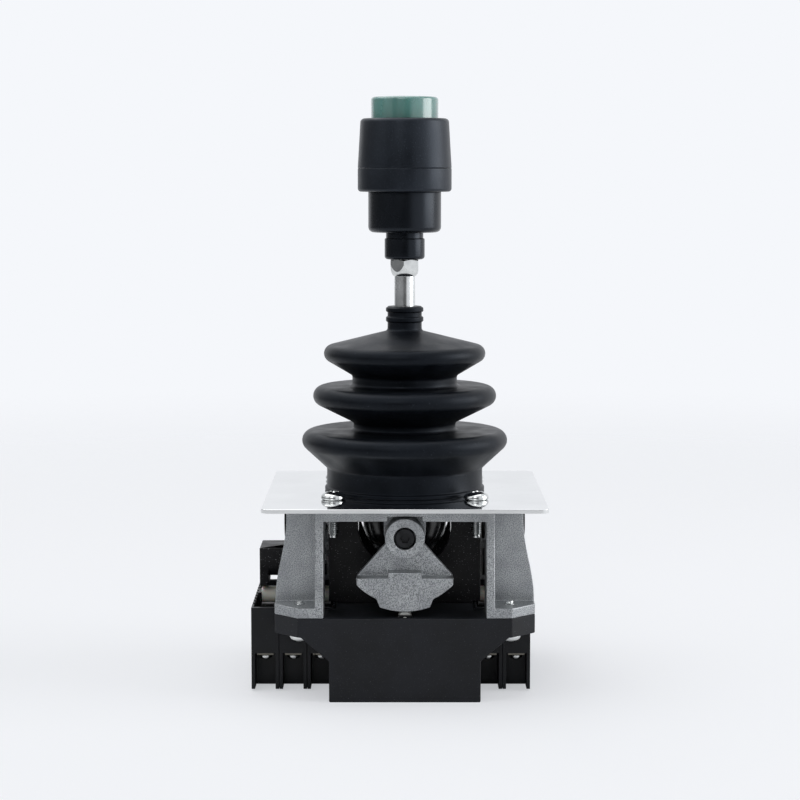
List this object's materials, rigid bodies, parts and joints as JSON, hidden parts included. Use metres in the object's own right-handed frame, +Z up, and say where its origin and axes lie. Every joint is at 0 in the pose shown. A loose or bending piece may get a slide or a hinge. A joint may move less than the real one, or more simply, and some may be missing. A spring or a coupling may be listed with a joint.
{
  "type": "industrial joystick",
  "caption": "Panel joystick: a lever with a push button on a gimbal under a lipped rubber bellows; tilting it turns cams that work roller contacts.",
  "frame": {"origin": "under the lever axis, level with the underside of the base", "axes": "+Z up the lever at rest, front towards -Y, the three contact housings at -X"},
  "size_m": [0.1049, 0.1, 0.2124],
  "materials": {
    "base_plastic": "moulded, fine grain",
    "housing_plastic": "moulded, satin",
    "die_cast": "as cast, bead blasted",
    "mirror_steel": "mirror polished stainless sheet",
    "chrome_screw": "bright plated",
    "bright_steel": "turned bright steel",
    "black_oxide": "black oxide steel",
    "bellows_rubber": "moulded, satin",
    "shroud_plastic": "moulded, satin",
    "ball_plastic": "moulded, gloss",
    "grip_plastic": "moulded, fine grain",
    "handle_gloss": "moulded, gloss",
    "green_plastic": "moulded, gloss",
    "cream_nylon": "moulded nylon, satin",
    "grey_roller": "moulded, satin",
    "bronze": "sintered, oiled",
    "plated_strip": "nickel plated strip",
    "brass_strip": "rolled strip",
    "spring_steel": "drawn wire"
  },
  "bodies": {
    "root": {"base": "base_plastic", "bottom_cover": "base_plastic", "cover_screws": "chrome_screw", "foot_screws": "chrome_screw", "frame": "die_cast", "mounting_plate": "mirror_steel", "plate_screws": "chrome_screw", "shroud": "shroud_plastic", "shaft_bushes": "bronze", "front_return_spring": "spring_steel", "left_return_spring": "spring_steel", "bellows": "bellows_rubber", "front_spring": "spring_steel", "terminal_strips": "plated_strip", "terminal_screws": "chrome_screw", "contact_housing_1": "housing_plastic", "contact_housing_2": "housing_plastic", "contact_housing_3": "housing_plastic", "contact_housing_4": "housing_plastic", "contact_housing_5": "housing_plastic", "contact_spring_1": "brass_strip", "contact_spring_2": "brass_strip", "contact_spring_3": "brass_strip", "contact_spring_4": "brass_strip", "contact_spring_5": "brass_strip"},
    "gimbal": {"gimbal_ball": "ball_plastic", "cross_pin": "bright_steel", "front_shaft": "bright_steel", "rear_shaft": "bright_steel", "rear_circlip": "spring_steel", "front_cam": "die_cast", "front_cam_screw": "black_oxide"},
    "lever": {"lever_rod": "bright_steel", "lever_nut": "chrome_screw", "handle_neck": "handle_gloss", "handle_body": "handle_gloss", "grip_ring": "grip_plastic", "grip_cap": "grip_plastic", "button_switch": "housing_plastic", "button_spring": "spring_steel"},
    "button": {"push_button": "green_plastic"},
    "yoke": {"side_yoke": "bright_steel", "left_shaft": "bright_steel", "right_shaft": "bright_steel", "left_cam": "shroud_plastic", "right_cam": "shroud_plastic", "side_cam_screws": "black_oxide"},
    "front_follower": {"front_plunger": "shroud_plastic"},
    "front_wheel": {"front_roller": "grey_roller"},
    "follower_1": {"contact_plunger_1": "shroud_plastic"},
    "wheel_1": {"contact_roller_1": "cream_nylon"},
    "follower_2": {"contact_plunger_2": "shroud_plastic"},
    "wheel_2": {"contact_roller_2": "cream_nylon"},
    "follower_3": {"contact_plunger_3": "shroud_plastic"},
    "wheel_3": {"contact_roller_3": "cream_nylon"},
    "follower_4": {"contact_plunger_4": "shroud_plastic"},
    "wheel_4": {"contact_roller_4": "cream_nylon"},
    "follower_5": {"contact_plunger_5": "shroud_plastic"},
    "wheel_5": {"contact_roller_5": "cream_nylon"}
  },
  "joints": [
    {"name": "lever_left_right", "type": "hinge", "parent": "root", "child": "gimbal", "pos_m": [0, 0, 0.0577], "axis": [0, 1, 0], "range_deg": [-28, 28], "stiffness_Nm_per_rad": 1.5, "deforming": ["bellows", "front_return_spring"]},
    {"name": "lever_front_back", "type": "hinge", "parent": "gimbal", "child": "lever", "pos_m": [0, 0, 0.0577], "axis": [1, 0, 0], "range_deg": [-28, 28], "stiffness_Nm_per_rad": 1.5, "deforming": ["bellows", "left_return_spring"]},
    {"name": "side_yoke_turn", "type": "hinge", "parent": "root", "child": "yoke", "pos_m": [0, 0, 0.0577], "axis": [1, 0, 0], "range_deg": [-28, 28]},
    {"name": "button_press", "type": "slide", "parent": "lever", "child": "button", "axis": [0, 0, -1], "range_m": [0, 0.004], "stiffness_N_per_m": 250, "springref_m": -0.004, "deforming": ["button_spring"]},
    {"name": "front_plunger_press", "type": "slide", "parent": "root", "child": "front_follower", "axis": [0, 0, -1], "range_m": [0, 0.0015], "stiffness_N_per_m": 150, "springref_m": -0.006, "deforming": ["front_spring"]},
    {"name": "front_roller_spin", "type": "hinge", "parent": "front_follower", "child": "front_wheel", "pos_m": [0, -0.04, 0.0292], "axis": [0, 1, 0], "continuous": true},
    {"name": "contact_plunger_1_press", "type": "slide", "parent": "root", "child": "follower_1", "axis": [0, 0, -1], "range_m": [0, 0.0015], "stiffness_N_per_m": 150, "springref_m": -0.006, "deforming": ["contact_spring_1"]},
    {"name": "contact_roller_1_spin", "type": "hinge", "parent": "follower_1", "child": "wheel_1", "pos_m": [-0.03, 0, 0.0298], "axis": [1, 0, 0], "continuous": true},
    {"name": "contact_plunger_2_press", "type": "slide", "parent": "root", "child": "follower_2", "axis": [0, 0, -1], "range_m": [0, 0.0015], "stiffness_N_per_m": 150, "springref_m": -0.006, "deforming": ["contact_spring_2"]},
    {"name": "contact_roller_2_spin", "type": "hinge", "parent": "follower_2", "child": "wheel_2", "pos_m": [-0.04, 0, 0.0298], "axis": [1, 0, 0], "continuous": true},
    {"name": "contact_plunger_3_press", "type": "slide", "parent": "root", "child": "follower_3", "axis": [0, 0, -1], "range_m": [0, 0.0015], "stiffness_N_per_m": 150, "springref_m": -0.006, "deforming": ["contact_spring_3"]},
    {"name": "contact_roller_3_spin", "type": "hinge", "parent": "follower_3", "child": "wheel_3", "pos_m": [-0.05, 0, 0.0298], "axis": [1, 0, 0], "continuous": true},
    {"name": "contact_plunger_4_press", "type": "slide", "parent": "root", "child": "follower_4", "axis": [0, 0, -1], "range_m": [0, 0.0015], "stiffness_N_per_m": 150, "springref_m": -0.006, "deforming": ["contact_spring_4"]},
    {"name": "contact_roller_4_spin", "type": "hinge", "parent": "follower_4", "child": "wheel_4", "pos_m": [0.03, 0, 0.0298], "axis": [1, 0, 0], "continuous": true},
    {"name": "contact_plunger_5_press", "type": "slide", "parent": "root", "child": "follower_5", "axis": [0, 0, -1], "range_m": [0, 0.0015], "stiffness_N_per_m": 150, "springref_m": -0.006, "deforming": ["contact_spring_5"]},
    {"name": "contact_roller_5_spin", "type": "hinge", "parent": "follower_5", "child": "wheel_5", "pos_m": [0.04, 0, 0.0298], "axis": [1, 0, 0], "continuous": true}
  ],
  "couplings": [
    {"joint": "side_yoke_turn", "follows": "lever_front_back", "ratio": 1}
  ]
}
